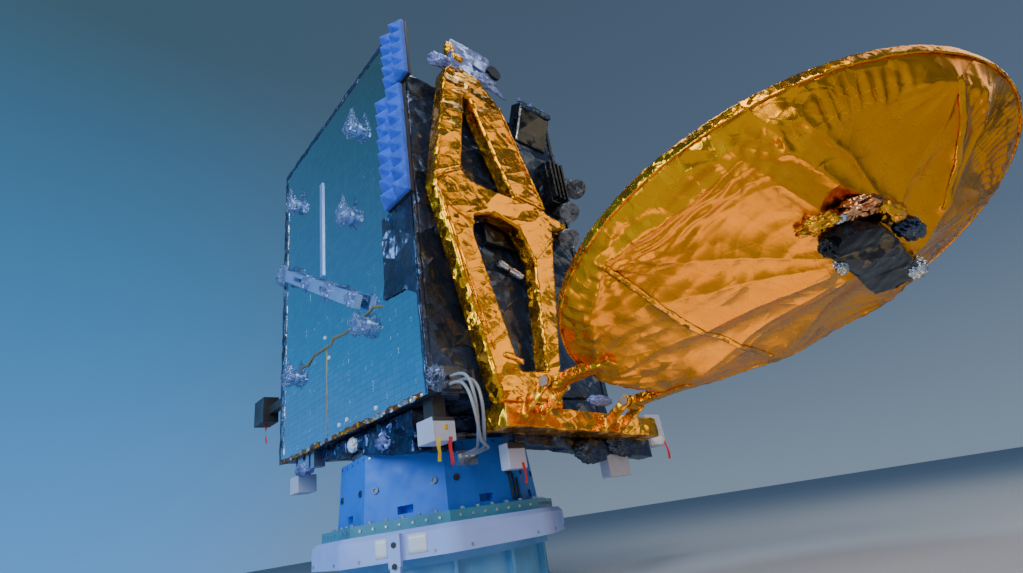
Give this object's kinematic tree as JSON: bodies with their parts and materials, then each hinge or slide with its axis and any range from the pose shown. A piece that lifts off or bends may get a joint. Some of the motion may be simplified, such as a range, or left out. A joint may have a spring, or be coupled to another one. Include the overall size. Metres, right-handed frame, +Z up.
{
  "type": "communications satellite on a test stand",
  "caption": "Box-bodied communications satellite on an eight-sided test stand, with mirror radiators, a gold A-shaped frame and a hinged foil-backed dish reflector.",
  "frame": {"origin": "middle of the stand's underside, on the floor", "axes": "+Z up, +X towards the deployed reflector, -Y and +Y out of the mirror radiators"},
  "size_m": [5.224, 2.127, 3.81],
  "materials": {
    "adapter_paint": "semi-gloss paint",
    "bare_alloy": "machined",
    "bare_steel": "machined",
    "black_foil": "crinkled black film",
    "black_plastic": "satin",
    "blue_black_foil": "crinkled dark film",
    "blue_film": "thin film",
    "blue_foam": "absorber foam",
    "cable_jacket": "braided jacket",
    "dish_skin": "painted composite",
    "flange_metal": "satin paint",
    "gold_foil": "crinkled metallised film",
    "grey_film": "film caps",
    "mirror_tiles": "mirror tiles on honeycomb",
    "ring_paint": "semi-gloss paint",
    "stand_paint": "semi-gloss paint",
    "tank_mass": "plain",
    "white_plastic": "satin"
  },
  "bodies": {
    "body_and_stand": {"a_frame": "gold_foil", "adapter_cone": "blue_black_foil", "adapter_cups": "bare_steel", "apex_bracket": "blue_film", "apex_disc": "black_plastic", "array_bar_north": "bare_alloy", "array_bar_south": "bare_alloy", "base_deck": "black_foil", "belly_band": "black_foil", "belly_blanket": "blue_black_foil", "belly_brackets": "bare_alloy", "cable_box": "bare_alloy", "cable_duct": "bare_alloy", "central_tube": "tank_mass", "clamp_ring": "bare_alloy", "connector_block": "bare_alloy", "connector_plate": "bare_alloy", "cover_arms": "black_plastic", "deck_box": "black_foil", "earth_deck": "black_foil", "east_wall": "black_foil", "edge_flap": "black_foil", "feed_base": "black_foil", "feed_horns": "grey_film", "flange_plate": "flange_metal", "foam_board": "black_plastic", "foam_teeth": "blue_foam", "foil_roll": "bare_alloy", "frame_feet": "black_plastic", "hinge_base": "gold_foil", "hinge_pins": "bare_steel", "hold_downs_north": "bare_alloy", "hold_downs_south": "bare_alloy", "octagon_adapter": "adapter_paint", "radiator_north": "mirror_tiles", "radiator_south": "mirror_tiles", "ring_latch": "ring_paint", "stand_base": "stand_paint", "test_cable_1": "cable_jacket", "test_cable_2": "cable_jacket", "test_cable_3": "cable_jacket", "thruster_covers": "white_plastic", "turntable_ring": "ring_paint", "wall_box": "black_plastic", "west_box": "black_plastic", "west_wall": "black_foil"},
    "reflector": {"reflector_arms": "gold_foil", "reflector_dish": "dish_skin", "reflector_hub": "black_foil", "reflector_rim": "gold_foil", "reflector_tent": "gold_foil"}
  },
  "joints": [
    {"name": "reflector_deployment", "type": "hinge", "parent": "body_and_stand", "child": "reflector", "pos_m": [1.40683, 0.15596, 0.97931], "axis": [0, -0.991, 0.134], "range_deg": [0, 74]}
  ]
}
